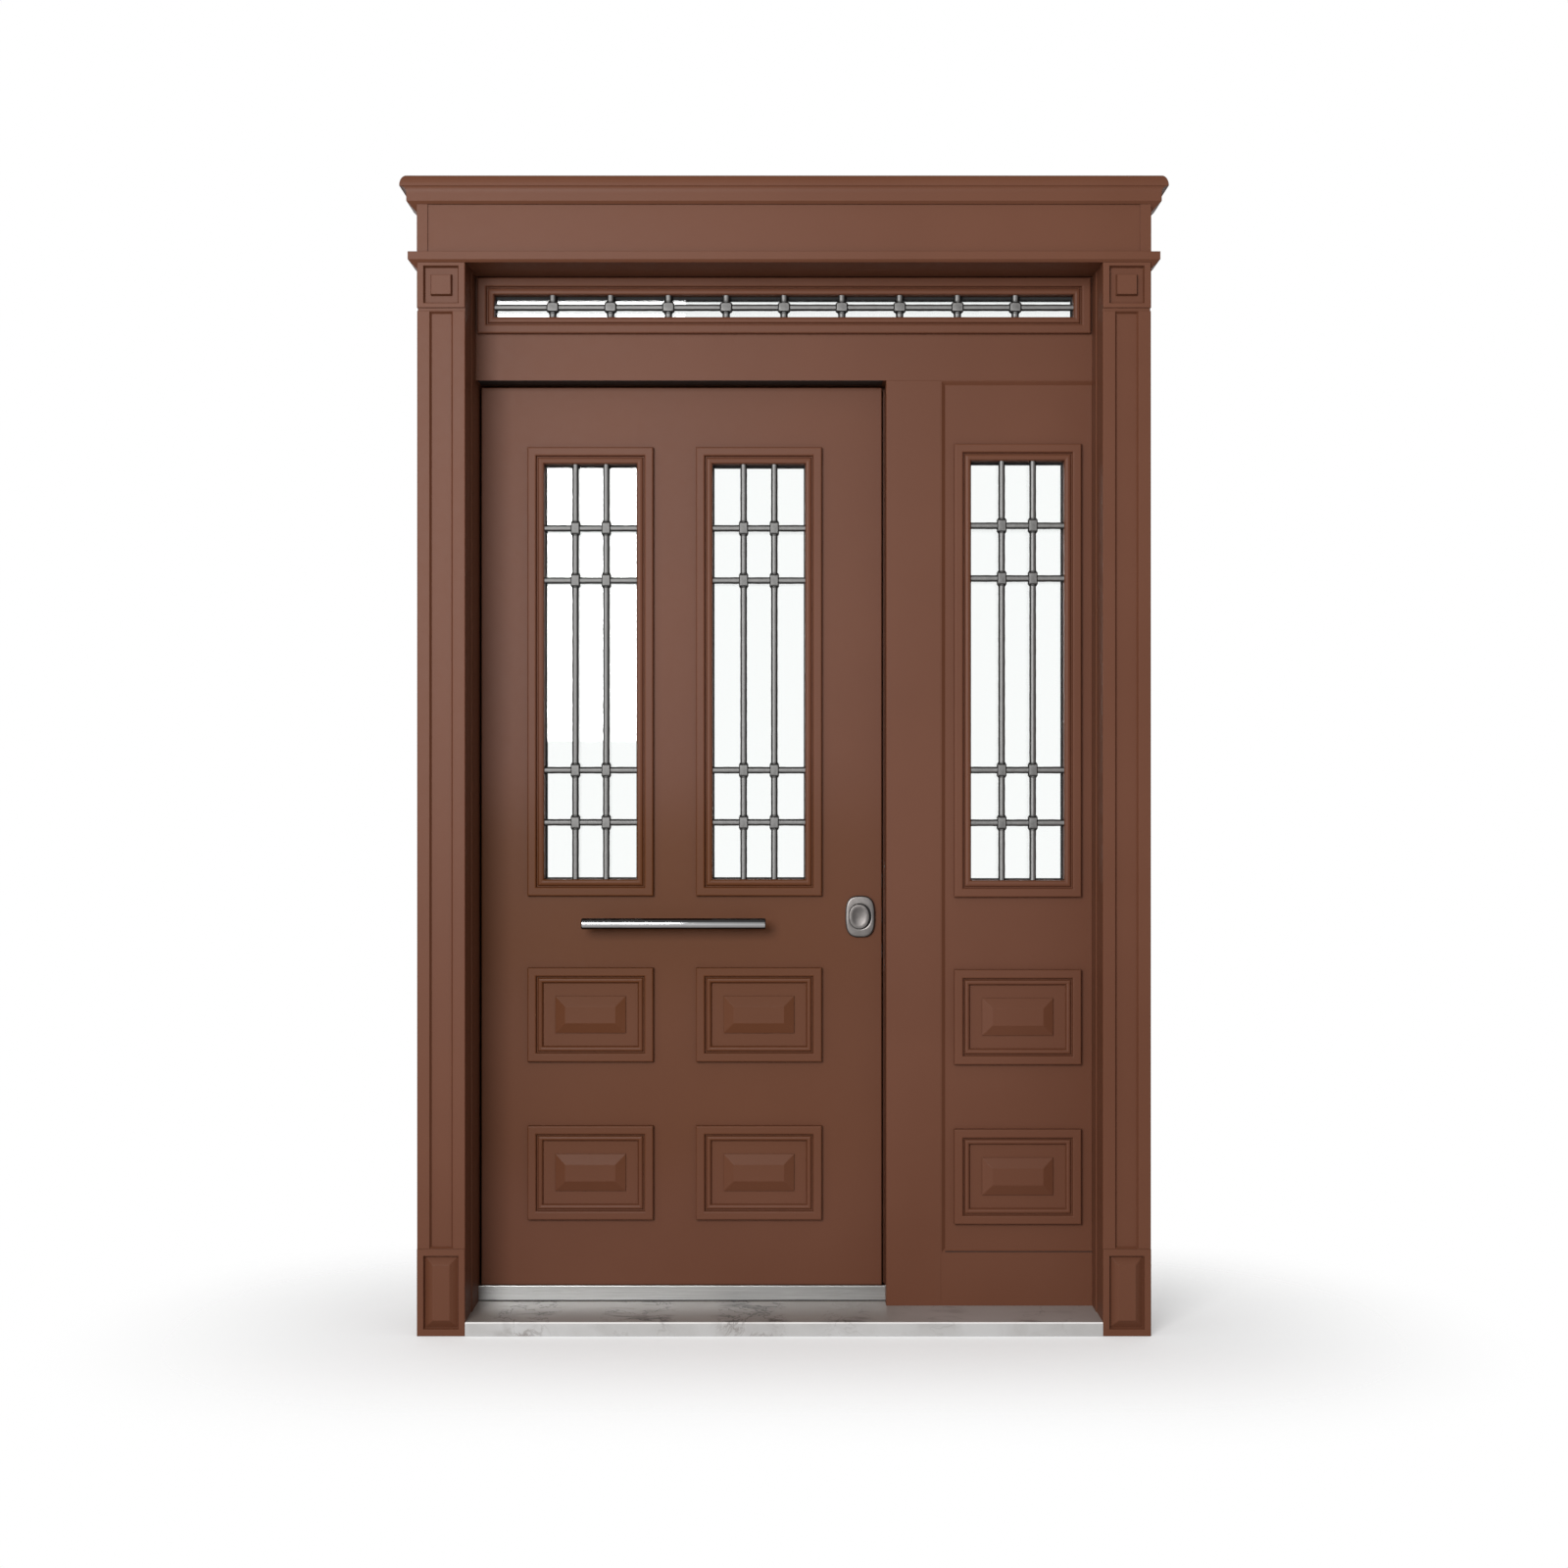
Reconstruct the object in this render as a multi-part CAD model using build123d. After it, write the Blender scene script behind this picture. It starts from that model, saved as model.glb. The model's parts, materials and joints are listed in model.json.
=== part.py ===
from build123d import *
import math
import os

# Sizes are in mm. X runs right, Y into the house and Z up.
# The floor is Z = 0 and the wall's outer face is Y = 0.

# Casing on the wall
pilaster_width = 105
pilaster_depth = 95
plinth_height = 189
capital_height = 101
block_proud = 3
casing_arris = 1.5

# Sunk strip of the shaft, and the necking under the capital
strip_width = 51
strip_depth = 8
strip_bevel = 4
strip_end = 1
neck_height = 7
neck_inset = 1.5

# Raised fields of the plinth and capital blocks
recess_border = 14
recess_depth = 11
recess_bevel = 3
plinth_top_width = 37
field_edge = 0.5
capital_recess_height = 82
capital_top = 42
capital_base = 47

# Entablature
architrave_height = 20
architrave_fillet = 17
architrave_side = 19
architrave_front = 6
frieze_height = 110
frieze_block = 23.5
frieze_sink = 3
cornice_height = 56
fascia_height = 18
fascia_side = 22
fascia_front = 6
nose_side = 14.7
nose_side_back = 15.5
nose_front = 5
nose_front_back = 9
nose_low = 14
nose_chords = 6

# Steel frame
jamb_width = 50
jamb_step = 2
jamb_arris = 2.5
fixed_setback = 58
leaf_setback = 114
mullion_width = 123
bottom_rail_height = 118
transom_height = 232
transom_rail = 60
transom_thickness = 42
side_thickness = 70
side_sink = 6
side_bevel = 8
side_rim = 2

# Sill and threshold
sill_thickness = 30
sill_arris = 3
threshold_height = 28
threshold_proud = 10
threshold_round = 2
threshold_lip = 5
threshold_lip_rise = 7

# Leaf
core_thickness = 53
skin_thickness = 17
hinge_gap = 5
lock_gap = 7.5
head_gap = 6
foot_gap = 6
lip_overlap = 10
seat_gap = 8
seal_thickness = 3
seal_width = 8
seal_inset = 1
leaf_arris = 1.5

# Layout of the windows and raised panels
hinge_stile = 106
middle_stile = 97
lock_stile = 136.5
window_width = 286
window_height = 1020
panel_height = 214
bottom_rail = 150
panel_rail = 145
lock_rail = 163
top_rail = 137
side_margin = 20
side_jamb_margin = 25
transom_light_height = 125
transom_light_side = 5
transom_light_top = 3
transom_glass_setback = 17

# Moulding around a window or raised panel
band = 20
band_proud = 14
band_round = 3
round_chords = 2
groove = 4
groove_floor = 5
groove_slope = 1
bead_proud = 10.5
bead_width = 10
bead_chords = 4
bead_foot = 4
bead_fall = 2
window_bead_fall = 1
leg_thickness = 8
glass_setback = 22
glass_thickness = 20
glass_cover = 6

# Raised block in the middle of a panel
field_level = 2
block_width = 160
block_height = 84
block_edge = 3
block_bevel = 23
block_level = 14

# Grilles
bar_width = 14
bar_sides = 8
bar_pitch = 70
bar_forward = 4
grille_outer = 335
grille_inner = 216
grille_drop = 8
collar_width = 22
collar_height = 29
collar_bevel = 3
transom_bars = 9
transom_collar = 28
transom_collar_height = 23
transom_drop = 2

# Pull bars and lock
pull_length = 415
pull_radius = 12.5
pull_chamfer = 1.5
pull_standoff = 60
post_radius = 8
post_spacing = 300
pull_below_rail = 60
lock_width = 68
lock_height = 95
lock_squareness = 2.7
lock_chords = 40
lock_thickness = 9
lock_chamfer = 3
lock_backset = 49
lock_above_pull = 13
guard_width = 47
guard_height = 55
guard_chords = 32
guard_play = 0.5
guard_seat = 3
guard_proud = 4
guard_chamfer = 2
dish_border = 6
dish_depth = 3
plate_thickness = 3
faceplate_width = 22
faceplate_height = 280
strike_width = 26
strike_height = 250
slot_width = 12
slot_height = 40
slot_pitch = 80

# Hinges
barrel_radius = 9
barrel_clearance = 4
barrel_back = 2
knuckle_height = 60
knuckle_gap = 1
pin_radius = 5
pin_play = 0.08
pin_reach = 45
hinge_plate = 4
hinge_plate_width = 58
hinge_web = 7
hinge_end = 220

# Planes and edges that follow from the sizes above
leaf_width = hinge_stile + 2 * window_width + middle_stile + lock_stile
leaf_height = bottom_rail + 2 * panel_height + panel_rail + lock_rail + window_height + top_rail
side_width = side_rim + side_bevel + side_margin + window_width + side_jamb_margin
opening_half = (hinge_gap + leaf_width + lock_gap + mullion_width + side_width) / 2
casing_inner = opening_half + jamb_step
casing_half = casing_inner + pilaster_width
front = -pilaster_depth
frame_back = leaf_setback + core_thickness - seat_gap
skin_front = leaf_setback + core_thickness
leaf_back = skin_front + skin_thickness
leaf_left = -opening_half + hinge_gap
leaf_right = leaf_left + leaf_width
mullion_left = leaf_right + lock_gap
mullion_right = mullion_left + mullion_width
threshold_top = sill_thickness + threshold_height
leaf_foot = threshold_top + foot_gap
leaf_head = leaf_foot + leaf_height
transom_foot = leaf_head + head_gap
soffit = transom_foot + transom_height
capital_foot = soffit - capital_height
frieze_foot = soffit + architrave_height
cornice_foot = frieze_foot + frieze_height
lip_left = -opening_half - lip_overlap
lip_right = mullion_left + lip_overlap
lip_head = transom_foot + lip_overlap
transom_back = fixed_setback + transom_thickness
side_face = fixed_setback + side_sink
side_back = fixed_setback + side_thickness
side_foot = sill_thickness + bottom_rail_height
moulding = band + groove + bead_width + bead_foot

# Centres of the panel columns and rows
left_column = leaf_left + hinge_stile + window_width / 2
right_column = left_column + window_width + middle_stile
side_column = mullion_right + side_rim + side_bevel + side_margin + window_width / 2
lower_row = leaf_foot + bottom_rail + panel_height / 2
upper_row = lower_row + panel_height + panel_rail
window_foot = upper_row + panel_height / 2 + lock_rail
window_row = window_foot + window_height / 2
pull_level = window_foot - pull_below_rail
pull_centre = (left_column + right_column) / 2
lock_level = pull_level + lock_above_pull
lock_centre = leaf_right - lock_backset
hinge_x = lip_left - barrel_radius - barrel_clearance
hinge_y = leaf_back - barrel_back
lock_line = (leaf_setback + frame_back) / 2
hinge_levels = (
    leaf_foot + hinge_end,
    (leaf_foot + leaf_head) / 2 - knuckle_height,
    leaf_head - hinge_end - 2 * knuckle_height,
)


def block(x0, x1, y0, y1, z0, z1):
    box = Box(x1 - x0, y1 - y0, z1 - z0)
    return Pos((x0 + x1) / 2, (y0 + y1) / 2, (z0 + z1) / 2) * box


def wedge(x, z, width, height, y0, y1, inset):
    # A rectangle at y0 that has shrunk by the inset on every side at y1: two tapered bars, crossed.
    def taper(half):
        return Polyline((-half, y0), (half, y0), (half - inset, y1), (inset - half, y1), close=True)

    across = extrude(make_face(taper(width / 2)), amount=height / 2, both=True)
    up = extrude(make_face(taper(height / 2)), amount=width / 2, both=True)
    return Pos(x, 0, z) * (across & Rot(0, 90, 0) * up)


def front_edges(shape):
    return shape.edges().filter_by(Axis.Z).group_by(Axis.Y)[0]


def mitred_strip(length, section):
    # The section's first axis runs inward over the panel and its second towards the viewer.
    along = Plane(origin=(-length / 2, 0, 0), x_dir=(0, 0, 1), z_dir=(1, 0, 0))
    bar = extrude(along * section, amount=length)
    half = length / 2
    inner = half - moulding
    outline = Polyline((-half, 0), (half, 0), (inner, moulding), (-inner, moulding), close=True)
    return bar & extrude(Plane.XZ * make_face(outline), amount=pilaster_depth, both=True)


def mitred_ring(width, height, section):
    across = mitred_strip(width, section)
    up = mitred_strip(height, section)
    ring = Pos(0, 0, -height / 2) * across
    ring += Pos(0, 0, height / 2) * Rot(0, 180, 0) * across
    ring += Pos(width / 2, 0, 0) * Rot(0, -90, 0) * up
    ring += Pos(-width / 2, 0, 0) * Rot(0, 90, 0) * up
    return ring


def quarter(x, y, start):
    # Points of a quarter round that turns clockwise about a centre, without its first point.
    turns = [math.radians(start - 90 * (i + 1) / round_chords) for i in range(round_chords)]
    return [(x + band_round * math.cos(a), y + band_round * math.sin(a)) for a in turns]


def moulding_section(leg):
    # Flat band with round edges, a groove, and a bead that falls to the inner edge.
    # A window's section has a wider bead, and a leg that runs back to the glass.
    low = band_proud - band_round
    bead_left = band + groove
    bead = bead_width + bead_foot - window_bead_fall if leg else bead_width
    bead_right = bead_left + bead
    bead_start = (groove_floor + bead_proud) / 2
    points = [(0, 0), (0, low)]
    points += quarter(band_round, low, 180)
    points.append((band - band_round, band_proud))
    points += quarter(band - band_round, low, 90)
    points += [(band + groove_slope, groove_floor), (bead_left - groove_slope, groove_floor)]
    for i in range(bead_chords + 1):
        a = math.pi * i / bead_chords
        rise = (bead_proud - bead_start) * math.sin(a)
        points.append((bead_left + bead * (1 - math.cos(a)) / 2, bead_start + rise))
    if leg:
        points += [(moulding, groove_floor / 2), (moulding, -leg), (moulding - leg_thickness, -leg)]
        points.append((moulding - leg_thickness, 0))
    else:
        points += [(bead_right + bead_fall, field_level), (moulding, field_level), (moulding, 0)]
    return make_face(Polyline(*points, close=True))


def raised_panel(x, z, face, outward):
    # Moulding, flat field and bevelled block in one routed piece; outward turns it to the house side.
    piece = mitred_ring(window_width, panel_height, moulding_section(0))
    inner_width = window_width - 2 * moulding
    inner_height = panel_height - 2 * moulding
    piece += block(-inner_width / 2, inner_width / 2, -field_level, 0, -inner_height / 2, inner_height / 2)
    rise = field_level + block_edge
    piece += block(-block_width / 2, block_width / 2, -rise, 0, -block_height / 2, block_height / 2)
    piece += wedge(0, 0, block_width, block_height, -rise, -block_level, block_bevel)
    return Pos(x, face, z) * Rot(0, 0, 0 if outward else 180) * piece


def cut_out(x, z, width, height, y0, y1):
    # The hole in a slab that takes the moulding's legs and the glass.
    half_width = width / 2 - moulding + leg_thickness
    half_height = height / 2 - moulding + leg_thickness
    return block(x - half_width, x + half_width, y0, y1, z - half_height, z + half_height)


def window_rings(x, z, width, height, face, back, setback):
    outer = Pos(x, face, z) * mitred_ring(width, height, moulding_section(setback))
    reach = back - face - setback - glass_thickness
    inner = mitred_ring(width, height, moulding_section(reach))
    return outer, Pos(x, back, z) * Rot(0, 0, 180) * inner


def pane(x, z, width, height, y0):
    half_width = width / 2 - moulding + glass_cover
    half_height = height / 2 - moulding + glass_cover
    return block(x - half_width, x + half_width, y0, y0 + glass_thickness, z - half_height, z + half_height)


def grille_bar(length, turn):
    outline = RegularPolygon(bar_width / 2, bar_sides, major_radius=False, rotation=180 / bar_sides)
    return turn * extrude(outline, amount=length / 2, both=True)


def grille(x, z, width, height, face, columns, rows, collar_size):
    # Bars that cross in one plane, with a bevelled collar over each crossing.
    y = face + bar_forward
    opening_width = width - 2 * moulding
    opening_height = height - 2 * moulding
    piece = None
    for column in columns:
        bar = Pos(x + column, y, z) * grille_bar(opening_height, Rot(0, 0, 0))
        piece = bar if piece is None else piece + bar
    for row in rows:
        piece += Pos(x, y, z + row) * grille_bar(opening_width, Rot(0, 90, 0))
    size_x, size_z = collar_size
    collar = Box(size_x, collar_width, size_z)
    edges = collar.edges().group_by(Axis.Y)
    collar = chamfer(edges[0] + edges[-1], collar_bevel)
    for column in columns:
        for row in rows:
            piece += Pos(x + column, y, z + row) * collar
    return piece


window_columns = (-bar_pitch / 2, bar_pitch / 2)
window_rows = [row - grille_drop for row in (grille_outer, grille_inner, -grille_inner, -grille_outer)]


def window_grille(x, face):
    size = (collar_width, collar_height)
    return grille(x, window_row, window_width, window_height, face, window_columns, window_rows, size)


def plinth_block(side):
    x0 = casing_inner
    x1 = casing_half
    middle = (x0 + x1) / 2
    piece = block(x0, x1, front, 0, 0, plinth_height)
    piece = chamfer(front_edges(piece), casing_arris)
    width = pilaster_width - 2 * recess_border
    height = plinth_height - 2 * recess_border
    floor = front + recess_depth
    centre = plinth_height / 2
    piece -= wedge(middle, centre, width, height, front, floor, recess_bevel)
    base_width = width - 2 * recess_bevel - 2 * field_edge
    base_height = height - 2 * recess_bevel - 2 * field_edge
    inset = (base_width - plinth_top_width) / 2
    piece += wedge(middle, centre, base_width, base_height, floor, front, inset)
    return piece if side > 0 else mirror(piece, about=Plane.YZ)


def pilaster_shaft(side):
    x0 = casing_inner
    x1 = casing_half
    face = front + block_proud
    body_head = capital_foot - neck_height
    piece = block(x0, x1, face, 0, plinth_height, body_head)
    piece = chamfer(front_edges(piece), casing_arris)
    height = body_head - plinth_height - 2 * strip_end
    centre = (body_head + plinth_height) / 2
    piece -= wedge((x0 + x1) / 2, centre, strip_width, height, face, face + strip_depth, strip_bevel)
    piece += block(x0, x1 - neck_inset, face + neck_inset, 0, body_head, capital_foot)
    return piece if side > 0 else mirror(piece, about=Plane.YZ)


def capital_block(side):
    x0 = casing_inner
    x1 = casing_half
    middle = (x0 + x1) / 2
    centre = (capital_foot + soffit) / 2
    piece = block(x0, x1, front, 0, capital_foot, soffit)
    piece = chamfer(front_edges(piece), casing_arris)
    width = pilaster_width - 2 * recess_border
    floor = front + recess_depth
    piece -= wedge(middle, centre, width, capital_recess_height, front, floor, recess_bevel)
    inset = (capital_base - capital_top) / 2
    piece += wedge(middle, centre, capital_base, capital_base, floor, front, inset)
    return piece if side > 0 else mirror(piece, about=Plane.YZ)


def returned_moulding(side_lines, front_lines):
    # The profile runs along the front and turns at 45 degrees down both sides to the wall.
    reach = 2 * casing_half
    along = Plane(origin=(-reach, 0, 0), x_dir=(0, 1, 0), z_dir=(1, 0, 0))
    run = extrude(along * front_lines, amount=2 * reach)
    ends = extrude(Plane.XZ * side_lines, amount=reach, both=True)
    return run & ends


def side_outline(points):
    # Mirrors the right edge, listed from below, into a closed outline in X and Z.
    right = [(casing_half + out, z) for out, z in points]
    left = [(-x, z) for x, z in reversed(right)]
    return make_face(Polyline(*right, *left, close=True))


def front_outline(points):
    # The same edge in Y and Z, closed at the wall's face.
    edge = [(front - out, z) for out, z in points]
    return make_face(Polyline(*edge, (0, points[-1][1]), (0, points[0][1]), close=True))


def architrave():
    def edge(out, setback):
        lip = soffit + architrave_height - architrave_fillet
        return [
            (-setback, lip - out - setback),
            (out, lip),
            (out, frieze_foot),
        ]

    side = side_outline(edge(architrave_side, 0))
    face = front_outline(edge(architrave_front, architrave_side - architrave_front))
    piece = returned_moulding(side, face)
    return piece - block(-casing_half, casing_half, front, 0, 0, soffit)


def frieze():
    piece = block(-casing_half, casing_half, front, 0, frieze_foot, cornice_foot)
    inner = casing_half - frieze_block
    return piece - block(-inner, inner, front, front + frieze_sink, frieze_foot, cornice_foot)


def cornice():
    def edge(setback, reach, back):
        # Bed slope, fascia, hollow under the nose, and the round nose itself in short chords.
        head = cornice_foot + cornice_height
        nose_foot = cornice_foot + fascia_height
        out = fascia_side - setback
        points = [(-setback, cornice_foot - fascia_side), (out, cornice_foot), (out, nose_foot)]
        turns = [math.pi / 2 * i / nose_chords for i in range(1, nose_chords + 1)]
        for a in turns:
            points.append((out + reach * (1 - math.cos(a)), nose_foot + nose_low * math.sin(a)))
        tip = nose_foot + nose_low
        for a in turns:
            points.append((out + reach - back * (1 - math.cos(a)), tip + (head - tip) * math.sin(a)))
        return points

    side = side_outline(edge(0, nose_side, nose_side_back))
    face = front_outline(edge(fascia_side - fascia_front, nose_front, nose_front_back))
    piece = returned_moulding(side, face)
    return piece - block(-casing_half, casing_half, front, 0, 0, cornice_foot)


def jamb(side):
    piece = block(opening_half, opening_half + jamb_width, 0, frame_back, 0, soffit)
    inner = front_edges(piece).sort_by(Axis.X)[0]
    piece = chamfer(inner, jamb_arris)
    return piece if side > 0 else mirror(piece, about=Plane.YZ)


def head_jamb():
    reach = opening_half + jamb_width
    piece = block(-reach, reach, 0, frame_back, soffit, soffit + jamb_width)
    lower = piece.edges().filter_by(Axis.X).group_by(Axis.Y)[0].sort_by(Axis.Z)[0]
    return chamfer(lower, jamb_arris)


def mullion():
    piece = block(mullion_left, mullion_right, fixed_setback, frame_back, sill_thickness, transom_foot)
    return chamfer(front_edges(piece).sort_by(Axis.X)[0], leaf_arris) - strike_plate(0)


def strike_plate(slots):
    y = lock_line
    half = strike_width / 2
    z0 = lock_level - strike_height / 2
    piece = block(mullion_left, mullion_left + plate_thickness, y - half, y + half, z0, z0 + strike_height)
    for i in range(slots):
        z = lock_level + (i - (slots - 1) / 2) * slot_pitch
        piece -= block(
            mullion_left, mullion_left + plate_thickness,
            y - slot_width / 2, y + slot_width / 2, z - slot_height / 2, z + slot_height / 2,
        )
    return piece


def bottom_rail_piece():
    return block(mullion_right, opening_half, fixed_setback, frame_back, sill_thickness, side_foot)


def transom_light():
    width = 2 * (opening_half - transom_light_side)
    z = soffit - transom_light_top - transom_light_height / 2
    return width, z


def transom_panel():
    width, z = transom_light()
    # A deep rail that the leaf seats against, and a thinner sheet panel above it around the light.
    rail_head = transom_foot + transom_rail
    piece = block(-opening_half, opening_half, fixed_setback, frame_back, transom_foot, rail_head)
    piece += block(-opening_half, opening_half, fixed_setback, transom_back, rail_head, soffit)
    return piece - cut_out(0, z, width, transom_light_height, fixed_setback, transom_back)


def transom_grille():
    width, z = transom_light()
    pitch = (width - 2 * moulding) / (transom_bars + 1)
    columns = [(i - (transom_bars - 1) / 2) * pitch for i in range(transom_bars)]
    size = (transom_collar, transom_collar_height)
    return grille(0, z, width, transom_light_height, fixed_setback, columns, (-transom_drop,), size)


def side_panel():
    piece = block(mullion_right, opening_half, fixed_setback, side_back, side_foot, transom_foot)
    # The sunk field has a bevel at the left, top and bottom, and runs out against the jamb.
    width = 2 * (opening_half - mullion_right - side_rim)
    height = transom_foot - side_foot - 2 * side_rim
    middle = (side_foot + transom_foot) / 2
    piece -= wedge(opening_half, middle, width, height, fixed_setback, side_face, side_bevel)
    return piece - cut_out(side_column, window_row, window_width, window_height, fixed_setback, side_back)


def sill():
    # The front part lies between the plinth blocks and the back part between the jambs.
    piece = block(-casing_inner, casing_inner, front, 0, 0, sill_thickness)
    piece += block(-opening_half, opening_half, 0, frame_back, 0, sill_thickness)
    edge = piece.edges().filter_by(Axis.X).group_by(Axis.Y)[0].sort_by(Axis.Z)[-1]
    return chamfer(edge, sill_arris)


def threshold():
    y0 = leaf_setback - threshold_proud
    piece = block(-opening_half, mullion_left, y0, frame_back, sill_thickness, threshold_top)
    lip_head = threshold_top + threshold_lip_rise
    piece += block(-opening_half, mullion_left, y0, y0 + threshold_lip, threshold_top, lip_head)
    edge = piece.edges().filter_by(Axis.X).group_by(Axis.Z)[-1].sort_by(Axis.Y)[0]
    return fillet(edge, threshold_round)


def cut_both(piece, y0, y1):
    for x in (left_column, right_column):
        piece -= cut_out(x, window_row, window_width, window_height, y0, y1)
    return piece


def leaf_core():
    piece = block(leaf_left, leaf_right, leaf_setback, skin_front, leaf_foot, leaf_head)
    edges = piece.edges().group_by(Axis.Y)[0]
    piece = chamfer(edges, leaf_arris)
    return cut_both(piece, leaf_setback, skin_front) - lock_faceplate()


def leaf_skin():
    piece = block(lip_left, lip_right, skin_front, leaf_back, leaf_foot, lip_head)
    edges = piece.edges().group_by(Axis.Y)[-1]
    piece = chamfer(edges, leaf_arris)
    return cut_both(piece, skin_front, leaf_back)


def leaf_seal():
    y0 = skin_front - seal_thickness
    left = lip_left + seal_inset
    right = lip_right - seal_inset
    head = lip_head - seal_inset
    piece = block(left, left + seal_width, y0, skin_front, leaf_foot, head)
    piece += block(right - seal_width, right, y0, skin_front, leaf_foot, head)
    return piece + block(left, right, y0, skin_front, head - seal_width, head)


def lock_faceplate():
    half = faceplate_width / 2
    z0 = lock_level - faceplate_height / 2
    x0 = leaf_right - plate_thickness
    return block(x0, leaf_right, lock_line - half, lock_line + half, z0, z0 + faceplate_height)


def both_sides(piece):
    # One copy on the outer face and one turned round on the inner face.
    return [Pos(0, leaf_setback, 0) * piece, Pos(0, leaf_back, 0) * mirror(piece, about=Plane.XZ)]


def pull_bar():
    rod = Rot(0, 90, 0) * Cylinder(pull_radius, pull_length)
    rod = chamfer(rod.edges().filter_by(GeomType.CIRCLE), pull_chamfer)
    return Pos(pull_centre, -pull_standoff, pull_level) * rod


def pull_posts():
    bar = pull_bar()
    posts = []
    for side in (-1, 1):
        post = Rot(90, 0, 0) * Cylinder(post_radius, pull_standoff)
        post = Pos(pull_centre + side * post_spacing / 2, -pull_standoff / 2, pull_level) * post
        posts.append(post - bar)
    return posts


def lock_outline():
    # A closed curve between an ellipse and a rectangle, in chords.
    def stretch(value, half):
        return math.copysign(half * abs(value) ** (2 / lock_squareness), value)

    turns = [2 * math.pi * (i + 0.5) / lock_chords for i in range(lock_chords)]
    points = [(stretch(math.cos(a), lock_width / 2), stretch(math.sin(a), lock_height / 2)) for a in turns]
    return make_face(Polyline(*points, close=True))


def lock_escutcheon():
    piece = extrude(Plane.XZ * lock_outline(), amount=lock_thickness)
    piece = chamfer(piece.edges().group_by(Axis.Y)[0], lock_chamfer)
    seat = Plane.XZ.offset(lock_thickness - guard_seat) * guard_outline(guard_play)
    piece -= extrude(seat, amount=guard_seat)
    return Pos(lock_centre, 0, lock_level) * piece


def guard_outline(margin):
    # An ellipse in chords.
    width = guard_width / 2 + margin
    height = guard_height / 2 + margin
    turns = [2 * math.pi * i / guard_chords for i in range(guard_chords)]
    return make_face(Polyline(*[(width * math.cos(a), height * math.sin(a)) for a in turns], close=True))


def lock_guard():
    # The guard over the cylinder, dished in the middle.
    back = lock_thickness - guard_seat
    piece = extrude(Plane.XZ.offset(back) * guard_outline(0), amount=guard_seat + guard_proud)
    piece = chamfer(piece.edges().group_by(Axis.Y)[0], guard_chamfer)
    top = Plane.XZ.offset(lock_thickness + guard_proud) * guard_outline(-dish_border)
    piece -= extrude(top, amount=-dish_depth)
    return Pos(lock_centre, 0, lock_level) * piece


def frame_hinges():
    halves = []
    for z in hinge_levels:
        barrel = Pos(hinge_x, hinge_y, z + knuckle_height / 2) * Cylinder(barrel_radius, knuckle_height)
        web = block(hinge_x - barrel_radius, hinge_x + hinge_web, frame_back, hinge_y, z, z + knuckle_height)
        pin_height = knuckle_height + knuckle_gap + pin_reach
        pin = Pos(hinge_x, hinge_y, z + pin_height / 2) * Cylinder(pin_radius, pin_height)
        halves.append(barrel + web + pin)
    return halves


def leaf_hinges():
    halves = []
    for z in hinge_levels:
        z0 = z + knuckle_height + knuckle_gap
        z1 = z0 + knuckle_height
        barrel = Pos(hinge_x, hinge_y, (z0 + z1) / 2) * Cylinder(barrel_radius, knuckle_height)
        plate = block(hinge_x, hinge_x + hinge_plate_width, leaf_back, leaf_back + hinge_plate, z0, z1)
        depth = pin_reach + knuckle_gap
        bore = Pos(hinge_x, hinge_y, z0 + depth / 2) * Cylinder(pin_radius + pin_play, depth)
        halves.append(barrel + plate - bore)
    return halves


def solids(pieces):
    return Compound(children=[s for piece in pieces for s in piece.solids()])


def leaf_rings():
    rings = []
    for x in (left_column, right_column):
        rings += window_rings(
            x, window_row, window_width, window_height, leaf_setback, leaf_back, glass_setback
        )
    return rings


def leaf_panes():
    columns = (left_column, right_column)
    return [pane(x, window_row, window_width, window_height, leaf_setback + glass_setback) for x in columns]


def leaf_panels(row, outward):
    face = leaf_setback if outward else leaf_back
    return [raised_panel(x, row, face, outward) for x in (left_column, right_column)]


def side_panels():
    panels = []
    for row in (lower_row, upper_row):
        panels.append(raised_panel(side_column, row, side_face, True))
        panels.append(raised_panel(side_column, row, side_back, False))
    return panels


light_width, light_row = transom_light()

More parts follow.
